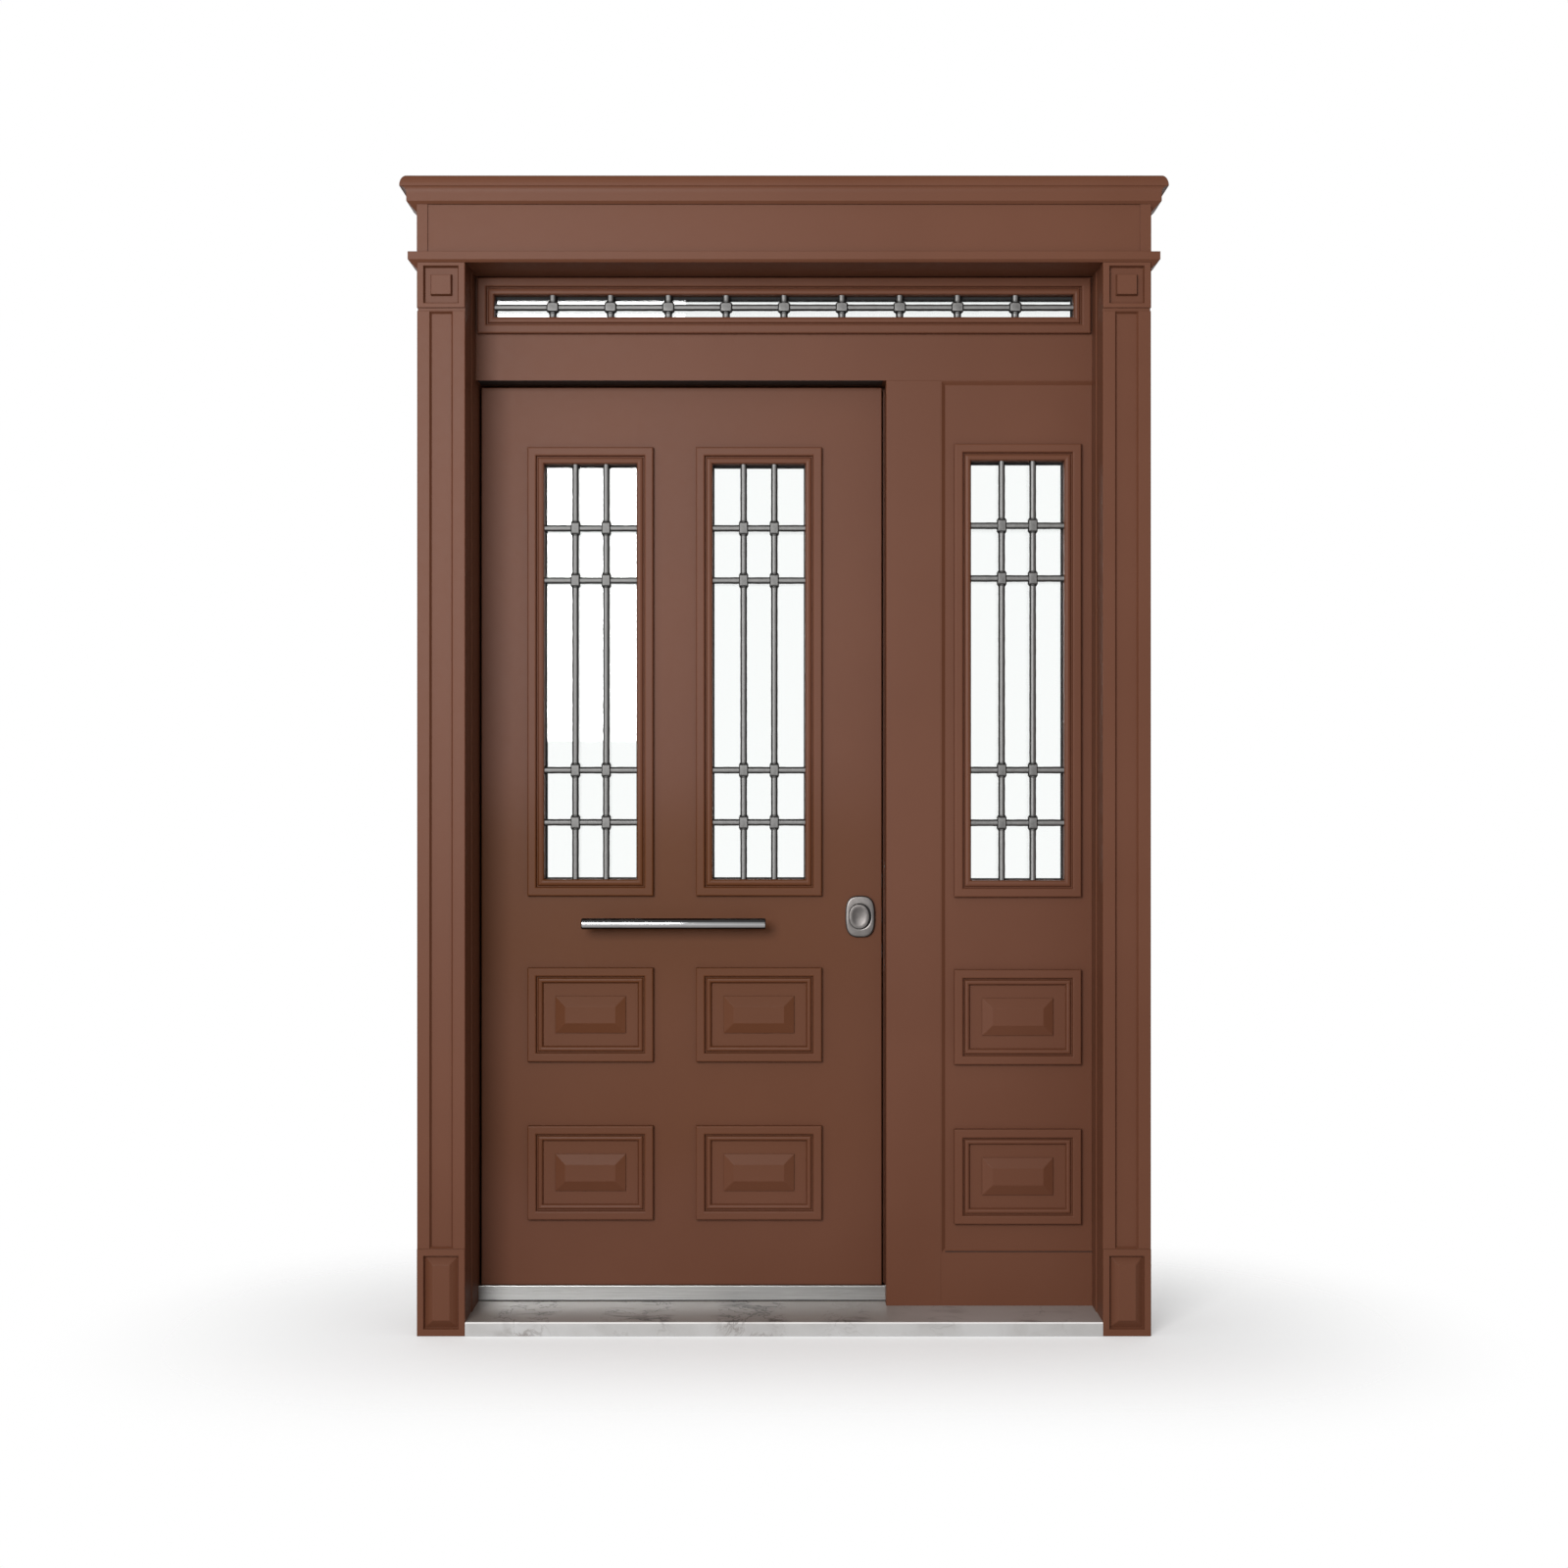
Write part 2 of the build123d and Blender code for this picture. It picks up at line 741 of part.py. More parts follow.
nodes = {
    "left_plinth_block": [plinth_block(-1)],
    "right_plinth_block": [plinth_block(1)],
    "left_pilaster_shaft": [pilaster_shaft(-1)],
    "right_pilaster_shaft": [pilaster_shaft(1)],
    "left_capital_block": [capital_block(-1)],
    "right_capital_block": [capital_block(1)],
    "architrave": [architrave()],
    "frieze": [frieze()],
    "cornice": [cornice()],
    "left_jamb": [jamb(-1)],
    "right_jamb": [jamb(1)],
    "head_jamb": [head_jamb()],
    "mullion": [mullion()],
    "side_bottom_rail": [bottom_rail_piece()],
    "transom_panel": [transom_panel()],
    "transom_mouldings": window_rings(
        0, light_row, light_width, transom_light_height, fixed_setback, transom_back, transom_glass_setback
    ),
    "transom_glass": [
        pane(0, light_row, light_width, transom_light_height, fixed_setback + transom_glass_setback)
    ],
    "transom_grille": [transom_grille()],
    "side_panel": [side_panel()],
    "side_window_mouldings": window_rings(
        side_column, window_row, window_width, window_height, side_face, side_back, glass_setback
    ),
    "side_glass": [pane(side_column, window_row, window_width, window_height, side_face + glass_setback)],
    "side_grille": [window_grille(side_column, side_face)],
    "side_raised_panels": side_panels(),
    "sill": [sill()],
    "threshold": [threshold()],
    "frame_hinge_halves": frame_hinges(),
    "strike_plate": [strike_plate(3)],
    "leaf_core": [leaf_core()],
    "leaf_skin": [leaf_skin()],
    "leaf_seal": [leaf_seal()],
    "leaf_window_mouldings": leaf_rings(),
    "leaf_glass": leaf_panes(),
    "left_grille": [window_grille(left_column, leaf_setback)],
    "right_grille": [window_grille(right_column, leaf_setback)],
    "upper_raised_panels": leaf_panels(upper_row, True),
    "lower_raised_panels": leaf_panels(lower_row, True),
    "inner_raised_panels": leaf_panels(upper_row, False) + leaf_panels(lower_row, False),
    "pull_bars": both_sides(pull_bar()),
    "pull_bar_posts": [copy for post in pull_posts() for copy in both_sides(post)],
    "lock_escutcheons": both_sides(lock_escutcheon()),
    "lock_guards": both_sides(lock_guard()),
    "lock_faceplate": [lock_faceplate()],
    "leaf_hinge_halves": leaf_hinges(),
}

os.makedirs("parts", exist_ok=True)
for name, pieces in nodes.items():
    export_step(solids(pieces), f"parts/{name}.step")
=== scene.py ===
import json
import math

import bpy
import numpy as np
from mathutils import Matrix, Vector


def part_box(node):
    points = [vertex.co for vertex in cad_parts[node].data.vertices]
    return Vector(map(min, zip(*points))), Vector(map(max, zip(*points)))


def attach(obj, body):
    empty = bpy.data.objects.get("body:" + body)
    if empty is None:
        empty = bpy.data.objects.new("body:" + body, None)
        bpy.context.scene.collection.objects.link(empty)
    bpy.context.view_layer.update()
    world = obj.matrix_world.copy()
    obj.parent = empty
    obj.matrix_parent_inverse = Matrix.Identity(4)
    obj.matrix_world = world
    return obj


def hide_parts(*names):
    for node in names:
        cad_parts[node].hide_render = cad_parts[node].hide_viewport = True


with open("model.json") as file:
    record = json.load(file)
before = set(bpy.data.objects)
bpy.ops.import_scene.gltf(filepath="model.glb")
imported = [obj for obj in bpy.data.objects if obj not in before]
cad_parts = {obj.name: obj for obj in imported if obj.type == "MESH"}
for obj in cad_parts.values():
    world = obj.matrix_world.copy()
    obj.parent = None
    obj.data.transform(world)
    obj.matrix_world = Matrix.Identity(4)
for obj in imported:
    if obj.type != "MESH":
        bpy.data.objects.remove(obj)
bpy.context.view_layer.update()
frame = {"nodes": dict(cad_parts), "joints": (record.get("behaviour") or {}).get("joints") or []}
nodes = frame["nodes"]


# Stone sill: one honed slab of pale marble between the plinth blocks, bedded in mortar on the floor.
# Dark veins gather in patches and run in streaks along it. Its top is painted darker and greyer as shade, darkest
# over the doorway, and the bevel of the front arris is painted near white as a highlight.

class Socket:
    """An output in a material's node tree: arithmetic on it adds Math nodes, and node() adds any other node."""

    def __init__(self, tree, output):
        self.tree = tree
        self.output = output

    def node(self, kind, settings, links, output=0):
        made = self.tree.nodes.new("ShaderNode" + kind)
        for name, value in settings.items():
            setattr(made, name, value)
        for key, value in links.items():
            if isinstance(value, Socket):
                self.tree.links.new(value.output, made.inputs[key])
            else:
                made.inputs[key].default_value = value
        return Socket(self.tree, made.outputs[output])

    def into(self, shader, name):
        self.tree.links.new(self.output, shader.inputs[name])

    def math(self, operation, *values):
        return self.node("Math", {"operation": operation}, dict(enumerate(values)))

    def __add__(self, other):
        return self.math("ADD", self, other)

    def __sub__(self, other):
        return self.math("SUBTRACT", self, other)

    def __rsub__(self, other):
        return self.math("SUBTRACT", other, self)

    def __mul__(self, other):
        return self.math("MULTIPLY", self, other)

    def __abs__(self):
        return self.math("ABSOLUTE", self)

    __radd__ = __add__
    __rmul__ = __mul__

    def noise(self, scale, detail=2.0, roughness=0.5):
        """Fractal noise from 0 to 1 at so many grains to the metre."""
        links = {"Vector": self, "Scale": scale, "Detail": detail, "Roughness": roughness}
        return self.node("TexNoise", {}, links)

    def stretched(self, x, y, z):
        """The coordinates times a factor on each axis, which shortens a pattern there."""
        return self.node("VectorMath", {"operation": "MULTIPLY"}, {0: self, 1: (x, y, z)})

    def step(self, low, high, first=0.0, last=1.0):
        """A smooth step from the first value at low to the last value at high."""
        links = {0: self, 1: low, 2: high, 3: first, 4: last}
        return self.node("MapRange", {"interpolation_type": "SMOOTHSTEP"}, links)

    def blend(self, first, second):
        """The first colour where this value is 0 and the second where it is 1."""
        colours = {0: self, 6: first, 7: second}
        return self.node("Mix", {"data_type": "RGBA"}, colours, output=2)

    def bump(self, strength, distance, normal=None):
        """A normal that tilts with this height, in metres of distance."""
        links = {"Height": self, "Strength": strength, "Distance": distance}
        if normal is not None:
            links["Normal"] = normal
        return self.node("Bump", {}, links)


def finish(name, **constants):
    """A new material: the constants go straight on its shader, and its object coordinates come back as a socket."""
    material = bpy.data.materials.new(name)
    material.use_nodes = True
    tree = material.node_tree
    shader = tree.nodes["Principled BSDF"]
    for key, value in constants.items():
        shader.inputs[key.replace("_", " ")].default_value = value
    place = Socket(tree, tree.nodes.new("ShaderNodeTexCoord").outputs["Object"])
    return material, shader, place


def dress(material, *names):
    """Gives the CAD nodes of these names a finish."""
    for name in names:
        nodes[name].data.materials.clear()
        nodes[name].data.materials.append(material)


marble, shader, place = finish("marble", Specular_IOR_Level=0.2)
drift = place.node("TexNoise", {}, {"Vector": place, "Scale": 5.0, "Detail": 4.0}, output="Color")
shifted = {"operation": "MULTIPLY_ADD"}
bent = place.node("VectorMath", shifted, {0: drift, 1: (0.22, 0.16, 0.16), 2: place})
eased = place.node("VectorMath", shifted, {0: drift, 1: (0.08, 0.05, 0.05), 2: place})
cloud = bent.noise(6.0, 5.0, 0.6)
fine_vein = abs(bent.stretched(1.0, 0.8, 1.4).noise(8.0, 6.0, 0.6) - 0.5).step(0.0, 0.022, 1.0, 0.0)
broad_vein = abs(bent.stretched(0.7, 0.6, 1.2).noise(4.0, 5.0, 0.6) - 0.5).step(0.0, 0.07, 1.0, 0.0)
streak = eased.stretched(0.55, 1.5, 1.5).noise(14.0, 5.0, 0.6).step(0.50, 0.62)
across = place.node("SeparateXYZ", {}, {0: place}, output="X")
inward = place.node("SeparateXYZ", {}, {0: place}, output="Y")
facing = place.node("TexCoord", {}, {}, output="Normal")
upward = place.node("SeparateXYZ", {}, {0: facing}, output="Z")
# Mask of the top face: it weights the veins and carries the painted shade of the top.
top_face = upward.step(0.8, 0.95)
patch_radians_per_metre = 25.5
first_patch = 14.45
late_patch = across.step(0.0, 0.3) * 2.2
beat = across.math("COSINE", across * patch_radians_per_metre + late_patch + first_patch)
patch = beat.step(-0.9, 0.5) * across.step(0.02, 0.15, 1.0, 0.45)
streak = streak * (inward.step(-0.10, 0.02, 1.0, 0.3) * top_face * 0.75 + 0.15)
veins = (fine_vein * (top_face * 0.3 + 0.25) + broad_vein * 0.25 + streak) * (patch * 0.85 + 0.12)
stone = cloud.step(0.3, 0.7).blend((0.505, 0.493, 0.482, 1), (0.60, 0.593, 0.587, 1))
# The top face is painted darker and greyer: painted shade, darkest over the doorway and lighter under the side panel.
painted_shade_top = across.step(0.15, 0.35).blend((0.205, 0.162, 0.132, 1), (0.343, 0.287, 0.262, 1))
stone = (top_face * 0.75).blend(stone, painted_shade_top)
# The bevel of the front arris is painted near white: a painted highlight.
stone = (upward.step(0.4, 0.6) * upward.step(0.8, 0.9, 1.0, 0.0)).blend(stone, (0.88, 0.86, 0.84, 1))
# Veins on the top face are painted darker as well: painted shade.
vein_ink_and_shade = top_face.blend((0.22, 0.19, 0.175, 1), (0.060, 0.045, 0.040, 1))
veins.step(0.0, 0.9).blend(stone, vein_ink_and_shade).into(shader, "Base Color")
(cloud * 0.12 + 0.32).into(shader, "Roughness")
place.noise(900.0, 2.0).bump(0.04, 0.0005).into(shader, "Normal")
dress(marble, "sill")


# Threshold: a folded strip of brushed stainless steel between jamb and mullion that the leaf closes over.
# A low lip stands in front of the leaf, and screws hold the tread down to the stone behind it.

def shell(name, *solids):
    """A mesh of lofted solids. Each is an array of rings of points: quads join every ring to the next one, and a
    flat face closes each end, or nothing where the last ring repeats the first. A solid whose signed volume is
    negative has its faces turned round."""
    points = []
    faces = []
    first = 0
    for rings in solids:
        looped = np.allclose(rings[0], rings[-1])
        rings = rings[:-1] if looped else rings
        count, around = rings.shape[:2]
        spots = rings.reshape(-1, 3)
        index = np.arange(count * around).reshape(count, around)
        here = index if looped else index[:-1]
        next_ring = np.roll(index, -1, 0) if looped else index[1:]
        quads = np.stack([here, np.roll(here, -1, 1), np.roll(next_ring, -1, 1), next_ring], -1).reshape(-1, 4)
        ends = [] if looped else [index[0][::-1], index[-1]]
        a, b, c, d = (spots[quads[:, i]] - spots.mean(0) for i in range(4))
        volume = (a * np.cross(b, c)).sum() + (a * np.cross(c, d)).sum()
        if volume < 0:
            quads = quads[:, ::-1]
            ends = [end[::-1] for end in ends]
        faces += (quads + first).tolist()
        faces += [(end + first).tolist() for end in ends]
        points.append(spots)
        first += len(spots)
    mesh = bpy.data.meshes.new(name)
    mesh.from_pydata(np.concatenate(points).tolist(), [], faces)
    mesh.shade_smooth()
    mesh.set_sharp_from_angle(angle=math.radians(32))
    piece = bpy.data.objects.new(name, mesh)
    bpy.context.scene.collection.objects.link(piece)
    return piece


def fit(piece, material, slot, body, *replaced):
    """Gives a new piece its finish, the body it rides on, and the CAD nodes it stands for. The slot is not used."""
    piece.data.materials.append(material)
    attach(piece, body)
    if replaced:
        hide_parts(*replaced)


def screw(x, y, z, out, radius=0.0042):
    """Raised countersunk screw head: rings of falling radius from the seat over a low dome, then a six-sided socket,
    whose ring has its apothem over the cosine of the angle within each sixth of a turn."""
    out = np.array(out, float)
    side = np.cross(out, (0.3, 0.5, 0.8))
    side /= np.linalg.norm(side)
    turn = np.linspace(0, 2 * np.pi, 24, endpoint=False)
    ring = np.outer(np.cos(turn), side) + np.outer(np.sin(turn), np.cross(out, side))
    hexagon = 0.42 / np.cos((turn + np.pi / 6) % (np.pi / 3) - np.pi / 6)
    circle = np.ones_like(turn)
    spread = np.stack([circle, 0.98 * circle, 0.86 * circle, 0.62 * circle, hexagon, 0.93 * hexagon])
    height = np.array([-0.05, 0.08, 0.22, 0.3, 0.3, 0.06])
    rings = spread[..., None] * ring + height[:, None, None] * out
    return rings * radius + (x, y, z)


brushed_steel, shader, place = finish("brushed_steel", Metallic=1.0)
strands = place.stretched(6.0, 900.0, 900.0).noise(1.0, 3.0, 0.7)
smears = place.noise(7.0, 3.0)
strands.step(0.25, 0.75).blend((0.46, 0.462, 0.452, 1), (0.60, 0.602, 0.59, 1)).into(shader, "Base Color")
(strands * 0.16 + smears * 0.1 + 0.2).into(shader, "Roughness")
strands.bump(0.12, 0.0003).into(shader, "Normal")
dress(brushed_steel, "threshold")

low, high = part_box("threshold")
screw_inset = 0.06
tread_middle = 0.136
tread_height = 0.028
tread = low.z + tread_height
screw_line = np.linspace(low.x + screw_inset, high.x - screw_inset, 6)
threshold_screws = shell("threshold_screws", *(screw(x, tread_middle, tread, (0, 0, 1)) for x in screw_line))
fit(threshold_screws, brushed_steel, "stainless_steel", "frame")


# Steel frame, transom and side panel: folded sheet welded at the corners, with pressed mouldings and raised panels,
# all powder-coated in one satin brown. The coat has a fine orange-peel skin and is thicker over the soft edges.

def powder_coat(name):
    """The satin brown coat: its material, its shader, its object coordinates and its colour."""
    coat, shader, place = finish(name, Specular_IOR_Level=0.2)
    flow = place.noise(2.2, 3.0)
    grain = place.noise(650.0, 2.0)
    speck = place.noise(60.0, 4.0, 0.65)
    colour = flow.step(0.3, 0.7).blend((0.142, 0.0515, 0.0265, 1), (0.155, 0.0580, 0.0310, 1))
    (flow * 0.10 + speck * 0.08 + 0.38).into(shader, "Roughness")
    soft_edge = place.node("Bevel", {"samples": 4}, {"Radius": 0.0014})
    grain.bump(0.10, 0.0004, soft_edge).into(shader, "Normal")
    return coat, shader, place, colour


brown_paint, shader, place, colour = powder_coat("brown_paint")
colour.into(shader, "Base Color")
dress(
    brown_paint, "left_jamb", "right_jamb", "head_jamb", "mullion", "side_bottom_rail", "transom_panel",
    "transom_mouldings", "side_panel", "side_window_mouldings", "side_raised_panels",
)


# Fixed glazing: sealed units of two clear panes on a spacer bar, held between the mouldings by black seals.
# The transom light and the side window don't open.

def span(low, high, *sizes):
    """Rings of a rectangle that grows along Y: each size is a place in Y and an inset from the edges."""
    rings = []
    for y, inset in sizes:
        x0, x1, z0, z1 = low.x + inset, high.x - inset, low.z + inset, high.z - inset
        rings.append([(x0, y, z0), (x1, y, z0), (x1, y, z1), (x0, y, z1)])
    return np.array(rings)


def sheet_of_glass(low, high, y0, y1, arris=0.0008):
    """One pane from y0 to y1 with its arrises ground."""
    return span(low, high, (y0, arris), (y0 + arris, 0.0), (y1 - arris, 0.0), (y1, arris))


def surround(low, high, profile, head=0.0):
    """A profile carried round a rectangle with mitred corners: its first value is the inset from the edge and its
    second the place in Y, and the last ring repeats the first. Along the top edge it is wider by head times its
    width."""
    inset, y = np.array(profile, float).T
    top = inset + head * (inset - inset.min())
    x = np.stack([low.x + inset, high.x - inset, high.x - inset, low.x + inset, low.x + inset])
    z = np.stack([low.z + inset, low.z + inset, high.z - top, high.z - top, low.z + inset])
    return np.stack([x, np.broadcast_to(y, x.shape), z], -1)


glass, shader, place = finish("glass", Transmission_Weight=1.0, IOR=1.45)
place.noise(1.1, 2.0).blend((0.98, 0.992, 0.987, 1), (0.985, 0.995, 0.99, 1)).into(shader, "Base Color")
(place.noise(3.0, 4.0).step(0.55, 0.9) * 0.015).into(shader, "Roughness")

spacer_metal, shader, place = finish("spacer_metal", Metallic=1.0)
(place.noise(400.0, 2.0) * 0.2 + 0.35).into(shader, "Roughness")
place.noise(30.0, 2.0).blend((0.42, 0.42, 0.42, 1), (0.5, 0.5, 0.5, 1)).into(shader, "Base Color")

black_rubber, shader, place = finish("black_rubber", Specular_IOR_Level=0.3)
place.noise(90.0, 3.0).blend((0.010, 0.010, 0.010, 1), (0.018, 0.017, 0.017, 1)).into(shader, "Base Color")
(place.noise(300.0, 2.0) * 0.2 + 0.55).into(shader, "Roughness")
place.noise(1500.0, 2.0).bump(0.1, 0.0003).into(shader, "Normal")

pane_thickness = 0.005
glass_cover = 0.006
spacer_edge = 0.001
spacer_inner = 0.0055
spacer_air = 0.0002
# The black seals are wider along the head, most in the transom: painted shade under the head of the opening.
transom_head_shade = 1.6


def glazing(name, low, high, body, head=0.4):
    """Panes, spacer and seals of one window, whose box is the glass with its covered edge. The seals are wider along
    the head by that share, a black band that stands in for the shade under the head of the opening."""
    panes = [
        sheet_of_glass(low, high, low.y, low.y + pane_thickness),
        sheet_of_glass(low, high, high.y - pane_thickness, high.y),
    ]
    front = low.y + pane_thickness + spacer_air
    back = high.y - pane_thickness - spacer_air
    section = [(spacer_edge, front), (spacer_inner, front), (spacer_inner, back), (spacer_edge, back)]
    spacer = surround(low, high, section)
    seals = []
    for face, way in ((low.y, -1), (high.y, 1)):
        lip = [(0.0, 0.0), (0.0030, 0.0), (0.0027, 0.0014), (0.0014, 0.0026), (0.0, 0.0030)]
        lip = [(glass_cover - 0.0004 + a, face + way * (b + 0.0001)) for a, b in lip]
        seals.append(surround(low, high, lip, head))
    spacer_bar = shell(name + "_spacer", spacer)
    fit(spacer_bar, spacer_metal, "stainless_steel", body)
    seal_strips = shell(name + "_seals", *seals)
    fit(seal_strips, black_rubber, "black_rubber", body)
    return panes


low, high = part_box("transom_glass")
transom_panes = shell("transom_panes", *glazing("transom", low, high, "frame", transom_head_shade))
fit(transom_panes, glass, "glass", "frame", "transom_glass")
low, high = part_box("side_glass")
side_panes = shell("side_panes", *glazing("side_window", low, high, "frame"))
fit(side_panes, glass, "glass", "frame", "side_glass")


# Joint strips: a flat black rubber seal under the transom, which also stands in for the shade there, a painted steel
# strip on the mullion that narrows the gap at the lock side, and black beads that seal the threshold to the stone and
# the foot of the side panel to its rail.

bite = 0.0002
strip_arris = 0.0005
leaf_low, leaf_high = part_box("leaf_core")

low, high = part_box("transom_panel")
seal_drop = 0.001
strip_low = Vector((leaf_low.x, 0, low.z - seal_drop))
strip_high = Vector((leaf_high.x, 0, low.z + bite))
front, back = low.y + 0.0015, leaf_low.y - 0.003
# A black rubber strip over the leaf's head: partly a real seal, partly painted shade under the transom.
head_strip = span(
    strip_low, strip_high,
    (front, 0.0003), (front + strip_arris, 0.0), (back - strip_arris, 0.0), (back, 0.0003),
)
fit(shell("head_strip", head_strip), black_rubber, "black_rubber", "frame")

low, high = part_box("mullion")
stop_width = 0.0045
stop_thickness = 0.006
stop_setback = 0.020
strip_low = Vector((low.x - stop_width, 0, leaf_low.z))
strip_high = Vector((low.x + bite, 0, leaf_high.z))
front = leaf_low.y + stop_setback
stop = span(strip_low, strip_high, (front, 0.0004), (front + 0.0006, 0.0), (front + stop_thickness, 0.0))
fit(shell("mullion_stop", stop), brown_paint, "brown_paint", "frame")

low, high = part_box("threshold")
bead_height = 0.0022
bead_low = Vector((low.x, 0, low.z - 0.0001))
bead_high = Vector((high.x, 0, low.z + bead_height))
bead = span(bead_low, bead_high, (low.y - 0.0016, 0.0008), (low.y - 0.0006, 0.0002), (low.y + bite, 0.0))
fit(shell("threshold_joint", bead), black_rubber, "black_rubber", "frame")

low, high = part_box("side_panel")
mullion_cover = 0.010
bead_low = Vector((low.x + mullion_cover, 0, low.z + 0.0028))
bead_high = Vector((high.x, 0, low.z + 0.0046))
bead = span(bead_low, bead_high, (low.y - 0.0001, 0.0004), (low.y + 0.0004, 0.0), (low.y + 0.006, 0.0))
fit(shell("side_panel_joint", bead), black_rubber, "black_rubber", "frame")


# Fixed grilles: round wrought bars that cross in one plane, with a forged collar over each crossing.
# The bar ends are let into the mouldings. The iron is painted pewter grey where it faces front or back and near black
# on its sides, as painted light and shade, and the flats of the collars are painted darker to damp their highlight.

grey_iron, shader, place = finish("grey_iron", Metallic=1.0, Specular_Tint=(0.45, 0.45, 0.45, 1))
facing = place.node("TexCoord", {}, {}, output="Normal")
forward = abs(place.node("SeparateXYZ", {}, {0: facing}, output="Y"))
# Base colour is lighter where the surface faces front or back and near black on its sides: painted light and shade.
painted_front_light = forward.step(0.66, 0.95)
dents = place.node("TexVoronoi", {"feature": "SMOOTH_F1"}, {"Vector": place, "Scale": 140.0, "Smoothness": 0.8})
scale_skin = place.noise(320.0, 4.0, 0.6)
# The flats of the collars are painted darker to damp their highlight: painted shade.
flat = forward.step(0.990, 0.999)
scale_and_painted_light = painted_front_light * (1 - flat * 0.45) * 0.85 + scale_skin.step(0.3, 0.7) * 0.15
scale_and_painted_light.blend((0.060, 0.059, 0.057, 1), (0.37, 0.367, 0.36, 1)).into(shader, "Base Color")
(scale_skin * 0.12 + 0.56).into(shader, "Roughness")
(dents + scale_skin * 0.3).bump(0.20, 0.0012).into(shader, "Normal")

bar_radius = 0.0075


def wrought_bar(start, end, radius=bar_radius):
    """A hammered round bar: the radius swells and falls by a few hundredths along it in two long waves."""
    start, end = np.array(start, float), np.array(end, float)
    along = end - start
    length = np.linalg.norm(along)
    along /= length
    side = np.cross(along, (0.0, 1.0, 0.0))
    turn = np.linspace(0, 2 * np.pi, 16, endpoint=False)
    ring = np.outer(np.cos(turn), side) + np.outer(np.sin(turn), np.cross(along, side))
    s = np.linspace(0, length, int(length / 0.006) + 2)
    phase = start.sum()
    swell = 1 + 0.018 * np.sin(s / 0.0093 + phase * 40) + 0.014 * np.sin(s / 0.0041 + phase * 90)
    return start + s[:, None, None] * along + (radius * swell)[:, None, None] * ring


def forged_collar(x, y, z, stations):
    """A block lofted along Y on both sides of the bars: each station is a distance from the grille's plane, a half
    width, a half height and a corner radius, and a ring is a rectangle with round corners."""
    reach, wide, tall, corner = np.array(stations + [(-s[0], *s[1:]) for s in stations[::-1]]).T[..., None]
    turn = (np.arange(24) + 0.5) * 2 * np.pi / 24
    across = np.sign(np.cos(turn)) * (wide - corner) + corner * np.cos(turn)
    up = np.sign(np.sin(turn)) * (tall - corner) + corner * np.sin(turn)
    return np.stack([x + across, np.broadcast_to(y - reach, across.shape), z + up], -1)


def collar_ring(x, y, z, axis, reach):
    """A thin bead round the bar at each end of a collar: a half round of radius over a short length."""
    a = np.linspace(0, np.pi, 7)
    axis = np.array(axis, float)
    side = np.cross(axis, (0.0, 1.0, 0.0))
    turn = np.linspace(0, 2 * np.pi, 20, endpoint=False)
    ring = np.outer(np.cos(turn), side) + np.outer(np.sin(turn), np.cross(axis, side))
    radius = bar_radius + 0.0002 + 0.0018 * np.sin(a)
    height = reach - 0.0016 * np.cos(a)
    return (x, y, z) + height[:, None, None] * axis + radius[:, None, None] * ring


window_collar = [
    (0.0110, 0.0074, 0.0100, 0.0006), (0.0109, 0.0078, 0.0104, 0.0007), (0.0086, 0.0098, 0.0130, 0.0010),
    (0.0082, 0.0101, 0.0134, 0.0011), (0.0072, 0.0104, 0.0138, 0.0012), (0.0020, 0.0107, 0.0143, 0.0012),
]
transom_collar = [
    (0.0110, 0.0104, 0.0080, 0.0040), (0.0109, 0.0109, 0.0084, 0.0044), (0.0086, 0.0132, 0.0104, 0.0058),
    (0.0082, 0.0136, 0.0108, 0.0060), (0.0072, 0.0141, 0.0112, 0.0062), (0.0020, 0.0146, 0.0117, 0.0064),
]


def grille(name, node, columns, rows, collar, body, upright=bar_radius):
    """Bars at the columns and rows, given from the middle of the node's box, and a collar with two rings at each
    crossing. The upright bars have a radius of their own."""
    low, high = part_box(node)
    x, y, z = (low + high) / 2
    solids = [wrought_bar((x + c, y, low.z), (x + c, y, high.z), upright) for c in columns]
    solids += [wrought_bar((low.x, y, z + r), (high.x, y, z + r)) for r in rows]
    for c in columns:
        for r in rows:
            solids.append(forged_collar(x + c, y, z + r, collar))
            tall = collar[-1][2] + 0.0012
            solids.append(collar_ring(x + c, y, z + r, (0, 0, 1), tall))
            solids.append(collar_ring(x + c, y, z + r, (0, 0, 1), -tall))
    fit(shell(name, *solids), grey_iron, "grey_iron", body, node)


window_columns = (-0.035, 0.035)
window_rows = (0.327, 0.208, -0.224, -0.343)
low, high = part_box("transom_grille")
transom_uprights = 9
transom_columns = (high.x - low.x) / (transom_uprights + 1) * (np.arange(transom_uprights) - transom_uprights // 2)
transom_rows = (-0.002,)
upright_radius = 0.0084
grille(
    "transom_ironwork", "transom_grille", transom_columns, transom_rows, transom_collar, "frame", upright_radius
)
grille("side_ironwork", "side_grille", window_columns, window_rows, window_collar, "frame")


# Casing: pilasters, plinth and capital blocks and the entablature, in the same coated sheet.
# The covers hook over the edge of the frame and are sealed to the wall.

dress(
    brown_paint, "left_plinth_block", "right_plinth_block", "left_pilaster_shaft", "right_pilaster_shaft",
    "left_capital_block", "right_capital_block", "architrave", "frieze", "cornice",
)


# Strike plate: satin steel let into the mullion's edge, with three black sheets at the bolt pockets that stand in for
# the shade inside them, and a screw at each end.

